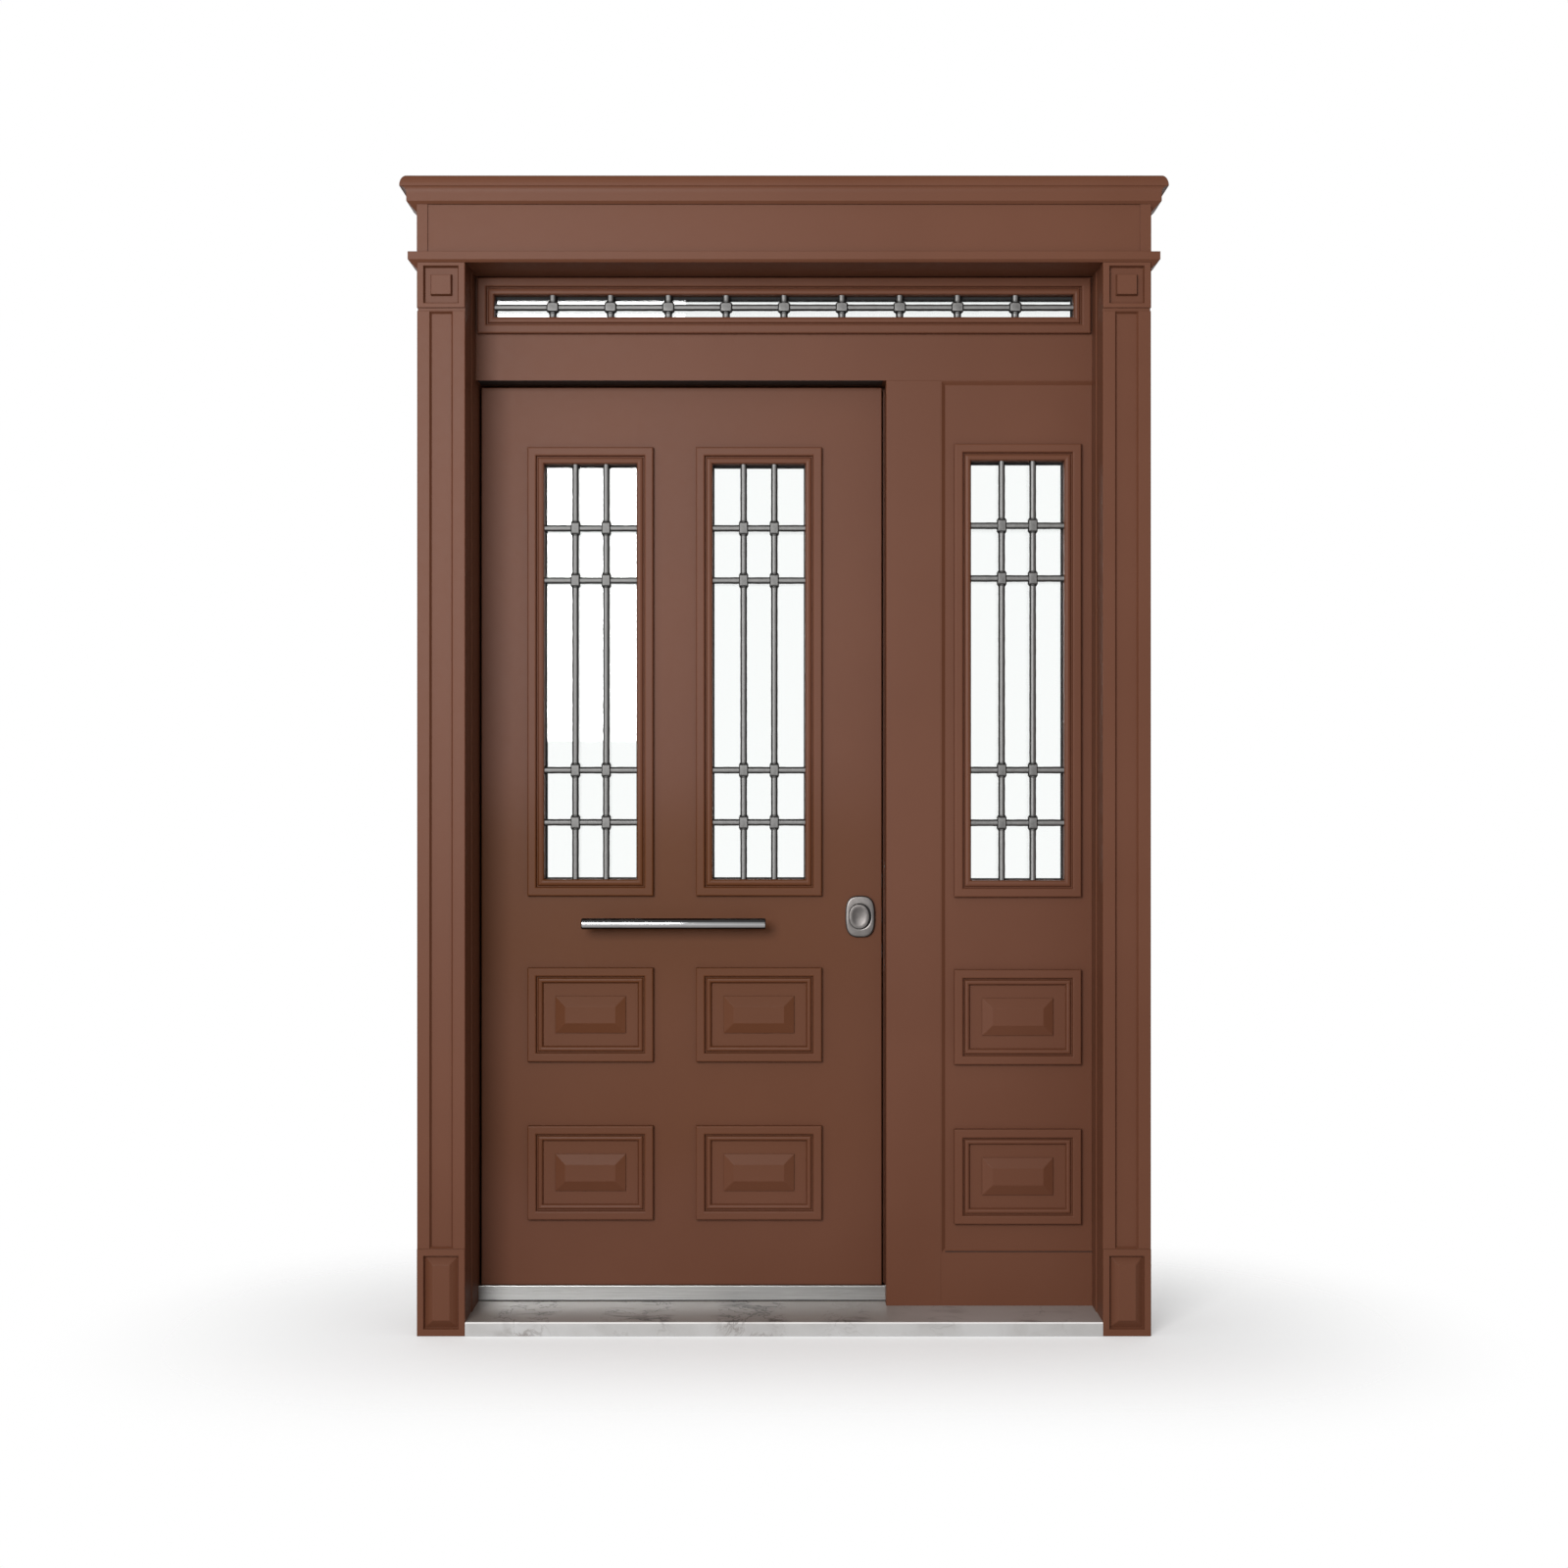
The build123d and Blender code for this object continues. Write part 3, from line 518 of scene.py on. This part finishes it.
satin_steel, shader, place = finish("satin_steel", Metallic=1.0)
rolled = place.stretched(500.0, 500.0, 8.0).noise(1.0, 3.0, 0.6)
rolled.step(0.3, 0.7).blend((0.43, 0.43, 0.425, 1), (0.55, 0.55, 0.545, 1)).into(shader, "Base Color")
(rolled * 0.15 + place.noise(12.0, 3.0) * 0.12 + 0.22).into(shader, "Roughness")
rolled.bump(0.08, 0.0003).into(shader, "Normal")
dress(satin_steel, "strike_plate")

low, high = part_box("strike_plate")
strike_y = (low.y + high.y) / 2
strike_z = (low.z + high.z) / 2
bolt_steps = (-0.08, 0.0, 0.08)
pocket_wide = 0.006
pocket_tall = 0.02
# Black sheets over the bolt pockets: painted shade of the hollows behind them.
pocket_shades = []
for step in bolt_steps:
    corner_low = Vector((strike_y - pocket_wide, 0, strike_z + step - pocket_tall))
    corner_high = Vector((strike_y + pocket_wide, 0, strike_z + step + pocket_tall))
    flat = span(corner_low, corner_high, (0.0, 0.0002), (0.0004, 0.0002))
    pocket_shades.append(np.stack([high.x - flat[..., 1], flat[..., 0], flat[..., 2]], -1))
bolt_pockets = shell("bolt_pockets", *pocket_shades)
fit(bolt_pockets, black_rubber, "black_rubber", "frame")
screw_inset = 0.012
screw_levels = (low.z + screw_inset, high.z - screw_inset)
strike_screws = shell("strike_screws", *(screw(low.x, strike_y, z, (-1, 0, 0)) for z in screw_levels))
fit(strike_screws, satin_steel, "hinge_steel", "frame")


# Door leaf: a filled steel core with a lipped skin on the house side, mouldings round both windows and raised
# panels screwed on from within, coated like the frame. About the pull the coat is painted darker and yellower as
# shade.

leaf_paint, shader, place, colour = powder_coat("leaf_paint")
across = place.node("SeparateXYZ", {}, {0: place}, output="X")
up = place.node("SeparateXYZ", {}, {0: place}, output="Z")
below = up.step(0.22, 0.42) * 0.5 + up.step(0.62, 0.85) * 0.5
# Towards the hinge side, from knee height to just above the pull, the coat is painted darker and yellower: painted
# shade.
painted_shade_about_pull = across.step(-0.35, 0.75, 0.95, 0.0) * up.step(1.04, 1.28, 1.0, 0.0) * below
painted_shade_about_pull.blend(colour, (0.118, 0.0365, 0.0095, 1)).into(shader, "Base Color")
dress(
    leaf_paint, "leaf_core", "leaf_skin", "leaf_window_mouldings", "upper_raised_panels", "lower_raised_panels",
    "inner_raised_panels",
)


# Leaf seal: an extruded black rubber bulb pushed into the lip on three sides, which closes on the frame.

low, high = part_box("leaf_seal")
bulb_middle = 0.004
bulb_half = 0.0036
bulb_rise = 0.0028
a = np.linspace(0, np.pi, 11)
inset = bulb_middle - bulb_half * np.cos(a)
depth = np.broadcast_to(high.y - bulb_rise * np.sin(a) ** 0.8, (4, len(a)))
foot = np.full(len(a), low.z)
x = np.stack([low.x + inset, low.x + inset, high.x - inset, high.x - inset])
z = np.stack([foot, high.z - inset, high.z - inset, foot])
leaf_bulb = shell("leaf_bulb", np.stack([x, depth, z], -1))
fit(leaf_bulb, black_rubber, "black_rubber", "leaf", "leaf_seal")


# Foot seal: a flat rubber strip clamped under the skin, which hangs behind the threshold and keeps the draught out.

low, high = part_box("leaf_skin")
strip_inset = 0.002
strip_drop = 0.010
strip_low = Vector((low.x + strip_inset, 0, low.z - strip_drop))
strip_high = Vector((high.x - strip_inset, 0, low.z + bite))
strip = span(
    strip_low, strip_high,
    (low.y + 0.004, 0.001), (low.y + 0.005, 0.0), (low.y + 0.012, 0.0), (low.y + 0.013, 0.001),
)
fit(shell("foot_strip", strip), black_rubber, "black_rubber", "leaf")


# Leaf glazing and grilles, made like those of the side window and carried by the leaf.

low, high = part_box("leaf_glass")
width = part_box("side_glass")[1].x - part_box("side_glass")[0].x
left_high = Vector((low.x + width, high.y, high.z))
right_low = Vector((high.x - width, low.y, low.z))
leaf_panes = shell(
    "leaf_panes", *glazing("left_window", low, left_high, "leaf"), *glazing("right_window", right_low, high, "leaf")
)
fit(leaf_panes, glass, "glass", "leaf", "leaf_glass")
grille("left_ironwork", "left_grille", window_columns, window_rows, window_collar, "leaf")
grille("right_ironwork", "right_grille", window_columns, window_rows, window_collar, "leaf")


# Pull bars: polished chrome tube with eased ends, one on each side of the leaf, on two plain posts that are bolted to
# each other through the leaf. Where the chrome turns away from the eye its colour is painted near black: a painted
# reflection of the dim room.

chrome, shader, place = finish("chrome", Metallic=1.0)
touch = place.noise(18.0, 4.0, 0.6)
# Near the outline, where the surface turns from the eye, the colour is painted near black: a painted dark reflection.
edge = place.node("LayerWeight", {}, {"Blend": 0.5}, output="Facing").step(0.15, 0.37)
bright = touch.step(0.4, 0.8).blend((0.78, 0.78, 0.785, 1), (0.73, 0.73, 0.735, 1))
edge.blend(bright, (0.035, 0.030, 0.028, 1)).into(shader, "Base Color")
(touch.step(0.45, 0.85) * 0.04 + 0.06).into(shader, "Roughness")


def turned(radius, height, foot, axis, around=40):
    """A turned solid: ring i has radius[i] at height[i] along the axis from the foot."""
    axis = np.array(axis, float)
    side = np.cross(axis, (0.31, 0.53, 0.79))
    side /= np.linalg.norm(side)
    turn = np.linspace(0, 2 * np.pi, around, endpoint=False)
    ring = np.outer(np.cos(turn), side) + np.outer(np.sin(turn), np.cross(axis, side))
    radius, height = np.array(radius), np.array(height)
    return np.array(foot) + height[:, None, None] * axis + radius[:, None, None] * ring


low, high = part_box("pull_bars")
bar_length = high.x - low.x
rod = (high.z - low.z) / 2
bar_z = (high.z + low.z) / 2
ease = np.linspace(0, np.pi / 2, 6)
rim = 0.003
end_radius = np.concatenate([[0.0005], rod - rim + rim * np.sin(ease)])
end_height = np.concatenate([[0.0], rim - rim * np.cos(ease)])
bar_radius_along = np.concatenate([end_radius, end_radius[::-1]])
bar_height_along = np.concatenate([end_height, bar_length - end_height[::-1]])
bars = [
    turned(bar_radius_along, bar_height_along, (low.x, y, bar_z), (1, 0, 0)) for y in (low.y + rod, high.y - rod)
]
fit(shell("pull_bar_tubes", *bars), chrome, "chrome", "leaf", "pull_bars")

post_low, post_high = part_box("pull_bar_posts")
leaf_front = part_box("leaf_core")[0].y
leaf_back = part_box("leaf_skin")[1].y
post = 0.008
bar_standoff = 0.060
post_radius = [post, post]
post_height = [0.0, bar_standoff - 0.5 * rod]
posts = []
for x in (post_low.x + post, post_high.x - post):
    posts.append(turned(post_radius, post_height, (x, leaf_front, bar_z), (0, -1, 0)))
    posts.append(turned(post_radius, post_height, (x, leaf_back, bar_z), (0, 1, 0)))
fit(shell("pull_bar_stems", *posts), chrome, "chrome", "leaf", "pull_bar_posts")


# Lock: a cast escutcheon with a domed rim on each side of the leaf and an oval guard that turns over the cylinder.
# The guard sits a little to the hinge side of its seat, and the black seat shows as a dark crescent on the other
# side: painted shade in the gap.

def oval_loft(x, face, way, z, stations, around=72):
    """A solid lofted outwards from a face: each station is a height, a half width, a half height, a squareness n and
    a shift in X, and a ring is the curve where the two coordinates over their halves, to the power n, add up to 1."""
    height, wide, tall, square, shift = np.array(stations).T[..., None]
    turn = (np.arange(around) + 0.5) * 2 * np.pi / around
    across = wide * np.sign(np.cos(turn)) * np.abs(np.cos(turn)) ** (2 / square)
    up = tall * np.sign(np.sin(turn)) * np.abs(np.sin(turn)) ** (2 / square)
    return np.stack([x + shift + across, np.broadcast_to(face + way * height, across.shape), z + up], -1)


satin_chrome, shader, place = finish("satin_chrome", Metallic=1.0)
worn = place.noise(40.0, 4.0, 0.6)
worn.step(0.35, 0.7).blend((0.166, 0.153, 0.147, 1), (0.211, 0.196, 0.189, 1)).into(shader, "Base Color")
(worn * 0.10 + 0.34).into(shader, "Roughness")
place.noise(700.0, 2.0).bump(0.08, 0.0003).into(shader, "Normal")

low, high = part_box("lock_escutcheons")
lock_x = (low.x + high.x) / 2
lock_z = (low.z + high.z) / 2
half_wide = (high.x - low.x) / 2
half_tall = (high.z - low.z) / 2
dome = np.linspace(0, np.pi / 2, 8)
lid_shift = -0.0026
plates = []
guards = []
shade_seats = []
for face, way in ((leaf_front, -1), (leaf_back, 1)):
    edge = [(0.0050 + 0.0035 * math.sin(a), half_wide - 0.0045 * (1 - math.cos(a)),
             half_tall - 0.0045 * (1 - math.cos(a)), 3.0, 0) for a in dome]
    rim = [(0.0088, 0.0276, 0.0316, 2.3, 0), (0.0088, 0.0264, 0.0300, 2.15, 0), (0.0084, 0.0254, 0.0290, 2.1, 0),
           (0.0062, 0.0252, 0.0288, 2.1, 0)]
    plates.append(oval_loft(lock_x, face, way, lock_z, [(0, half_wide, half_tall, 3.0, 0)] + edge + rim))
    seat = [(0.0060, 0.0251, 0.0287, 2.1, 0), (0.0064, 0.0251, 0.0287, 2.1, 0)]
    shade_seats.append(oval_loft(lock_x, face, way, lock_z, seat))
    lid = [(0.0064, 0.0222, 0.0272, 2.1, lid_shift), (0.0092, 0.0222, 0.0272, 2.1, lid_shift),
           (0.0096, 0.0232, 0.0280, 2.1, lid_shift), (0.0104, 0.0234, 0.0282, 2.1, lid_shift)]
    lid += [(0.0104 + 0.0014 * math.sin(a), 0.0234 - 0.0016 * (1 - math.cos(a)),
             0.0282 - 0.0016 * (1 - math.cos(a)), 2.1, lid_shift) for a in dome]
    lid += [(0.0119, 0.0190, 0.0238, 2.1, lid_shift), (0.0119, 0.0162, 0.0214, 2.2, lid_shift)]
    hollow = np.linspace(0, 1, 9)[1:]
    lid += [(0.0119 - 0.0014 * (1 - (1 - s) ** 2), 0.0162 * (1 - 0.985 * s), 0.0214 * (1 - 0.985 * s),
             2.2, lid_shift) for s in hollow]
    guards.append(oval_loft(lock_x, face, way, lock_z, lid))
fit(shell("lock_plates", *plates), satin_chrome, "chrome", "leaf", "lock_escutcheons")
fit(shell("lock_lids", *guards), satin_chrome, "chrome", "leaf", "lock_guards")
# The seats are black: painted shade in the gap round each guard.
fit(shell("lock_seats", *shade_seats), black_rubber, "black_rubber", "leaf")


# Lock faceplate: a satin steel strip in the leaf's edge with the ends of three bolts and a screw at each end.

dress(satin_steel, "lock_faceplate")
low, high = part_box("lock_faceplate")
plate_y = (low.y + high.y) / 2
plate_z = (low.z + high.z) / 2
bolt_wide = 0.005
bolt_tall = 0.016
bolts = []
for step in bolt_steps:
    corner_low = Vector((plate_y - bolt_wide, 0, plate_z + step - bolt_tall))
    corner_high = Vector((plate_y + bolt_wide, 0, plate_z + step + bolt_tall))
    flat = span(corner_low, corner_high, (0.0, 0.0), (0.0012, 0.0), (0.0018, 0.0006))
    bolts.append(np.stack([high.x - 0.0004 + flat[..., 1], flat[..., 0], flat[..., 2]], -1))
fit(shell("bolt_ends", *bolts), chrome, "hinge_steel", "leaf")
screw_inset = 0.014
screw_levels = (low.z + screw_inset, high.z - screw_inset)
plate_screws = shell("faceplate_screws", *(screw(high.x, plate_y, z, (1, 0, 0)) for z in screw_levels))
fit(plate_screws, satin_steel, "hinge_steel", "leaf")


# Hinges: three pairs of turned knuckles on a hardened pin, the lower half welded to the jamb's back edge and the
# upper half on a plate that is screwed to the skin of the leaf.

barrel = 0.009
frame_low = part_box("frame_hinge_halves")[0]
leaf_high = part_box("leaf_hinge_halves")[1]
hinge_x, hinge_y = frame["joints"][0]["pos_m"][:2]
knuckle = 0.060
running_gap = 0.001
collar = 0.0072
collar_height = 0.002
pin = 0.0050
pin_length = 0.045
bore = 0.0052
tip = 0.0008
cap = 0.0035
round_off = np.linspace(0, np.pi / 2, 6)
foot_levels = np.linspace(frame_low.z, leaf_high.z - 2 * knuckle - running_gap, 3)
shoulder = knuckle - collar_height
lower_radius = np.concatenate(
    [[tip], barrel - cap + cap * np.sin(round_off), [barrel, collar, collar, pin, pin]]
)
lower_height = np.concatenate(
    [[0.0], cap - cap * np.cos(round_off), [shoulder, shoulder, knuckle, knuckle, knuckle + pin_length]]
)
upper_radius = np.concatenate(
    [[bore, collar, collar, barrel, barrel], barrel - cap + cap * np.cos(round_off), [tip]]
)
upper_height = np.concatenate(
    [[0.0, 0.0, collar_height, collar_height, knuckle - cap], knuckle - cap + cap * np.sin(round_off), [knuckle]]
)
plate_thickness = 0.004
plate_arris = 0.0008
plate_face = leaf_back + plate_thickness
jamb_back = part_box("left_jamb")[1].y
lower_halves = []
upper_halves = []
plate_screw_heads = []
for foot in foot_levels:
    lower_halves.append(turned(lower_radius, lower_height, (hinge_x, hinge_y, foot), (0, 0, 1)))
    web_low = Vector((hinge_x - barrel, 0, foot + 0.001))
    web_high = Vector((hinge_x + 0.007, 0, foot + knuckle - 0.001))
    lower_halves.append(span(web_low, web_high, (jamb_back, 0.0), (hinge_y - 0.0005, 0.0)))
    head = foot + knuckle + running_gap
    upper_halves.append(turned(upper_radius, upper_height, (hinge_x, hinge_y, head), (0, 0, 1)))
    plate_low = Vector((hinge_x + 0.001, 0, head))
    plate_high = Vector((leaf_high.x, 0, head + knuckle))
    upper_halves.append(
        span(plate_low, plate_high, (leaf_back, 0.0), (plate_face - plate_arris, 0.0), (plate_face, plate_arris))
    )
    for across in (0.024, 0.046):
        for up in (0.012, 0.048):
            plate_screw_heads.append(screw(hinge_x + across, plate_face, head + up, (0, 1, 0), 0.0045))
fit(shell("lower_knuckles", *lower_halves), satin_steel, "hinge_steel", "frame", "frame_hinge_halves")
fit(shell("upper_knuckles", *upper_halves), satin_steel, "hinge_steel", "leaf", "leaf_hinge_halves")
fit(shell("hinge_screws", *plate_screw_heads), satin_steel, "hinge_steel", "leaf")


# Studio: a pale floor that fades out into a white room, and one large soft light from the left, a little above the
# lens. The room is dimmer overhead and to the right, which gives round metal its dark side.

floor_half = 9
floor_level = -0.0005
floor_mesh = bpy.data.meshes.new("floor")
corners = [(x * floor_half, y * floor_half, floor_level) for x, y in ((-1, -1), (1, -1), (1, 1), (-1, 1))]
floor_mesh.from_pydata(corners, [], [(0, 1, 2, 3)])
floor = bpy.data.objects.new("floor", floor_mesh)
bpy.context.scene.collection.objects.link(floor)
pale_floor, shader, place = finish("pale_floor", Roughness=0.8, Specular_IOR_Level=0.1, Emission_Strength=1.0)
tree = pale_floor.node_tree
seen = place.node("LightPath", {}, {}, output="Is Camera Ray")
seen.blend((0.5, 0.5, 0.5, 1), (0.80, 0.80, 0.80, 1)).into(shader, "Base Color")
seen.blend((0.0, 0.0, 0.0, 1), (0.30, 0.30, 0.30, 1)).into(shader, "Emission Color")
outside = place.node("VectorMath", {"operation": "ABSOLUTE"}, {0: place})
outside = place.node("VectorMath", {"operation": "SUBTRACT"}, {0: outside, 1: (0.75, 0.05, 0.0)})
outside = place.node("VectorMath", {"operation": "MAXIMUM"}, {0: outside, 1: (0.0, 0.0, 0.0)})
distance = place.node("VectorMath", {"operation": "LENGTH"}, {0: outside}, output="Value")
clear = place.node("BsdfTransparent", {}, {})
faded = place.node(
    "MixShader", {}, {0: distance.step(0.05, 0.9) * seen, 1: Socket(tree, shader.outputs[0]), 2: clear}
)
tree.links.new(faded.output, tree.nodes["Material Output"].inputs["Surface"])
floor_mesh.materials.append(pale_floor)


def lamp(name, place, aim, size, power):
    """A square area light at a place, turned to a point."""
    light = bpy.data.lights.new(name, "AREA")
    light.size = size
    light.energy = power
    holder = bpy.data.objects.new(name, light)
    holder.location = place
    holder.rotation_euler = (Vector(aim) - Vector(place)).to_track_quat("-Z", "Y").to_euler()
    bpy.context.scene.collection.objects.link(holder)


lamp("key_light", (-1.6, -5.6, 2.5), (0.0, 0.1, 1.3), 2.2, 238)

world = bpy.data.worlds.new("white_room")
bpy.context.scene.world = world
world.use_nodes = True
tree = world.node_tree
rays = tree.nodes.new("ShaderNodeLightPath").outputs
way = Socket(tree, tree.nodes.new("ShaderNodeTexCoord").outputs["Generated"])
up = way.node("SeparateXYZ", {}, {0: way}, output="Z")
to_right = way.node("VectorMath", {"operation": "DOT_PRODUCT"}, {0: way, 1: (0.9, -0.35, 0.0)}, output="Value")
dim = to_right.step(-0.3, 0.9, 1.0, 0.15) * up.step(0.2, 0.75, 1.0, 0.08)
shown = Socket(tree, rays["Is Camera Ray"]) + Socket(tree, rays["Is Transmission Ray"])
mirrored = Socket(tree, rays["Is Glossy Ray"])
room = mirrored * dim + (1 - mirrored) * (dim * 0.20 + 0.415)
strength = shown.math("MINIMUM", shown.math("MAXIMUM", shown, room), 1.0)
tree.nodes["Background"].inputs["Color"].default_value = (1, 1, 1, 1)
strength.into(tree.nodes["Background"], "Strength")

lens = bpy.data.cameras.new("camera")
lens.lens = 50
lens.sensor_width = 36
camera = bpy.data.objects.new("camera", lens)
camera.location = (0, -4.845, 1.2045)
camera.rotation_euler = (math.radians(90), 0, 0)
bpy.context.scene.collection.objects.link(camera)
bpy.context.scene.camera = camera
bpy.context.scene.view_settings.view_transform = "Standard"
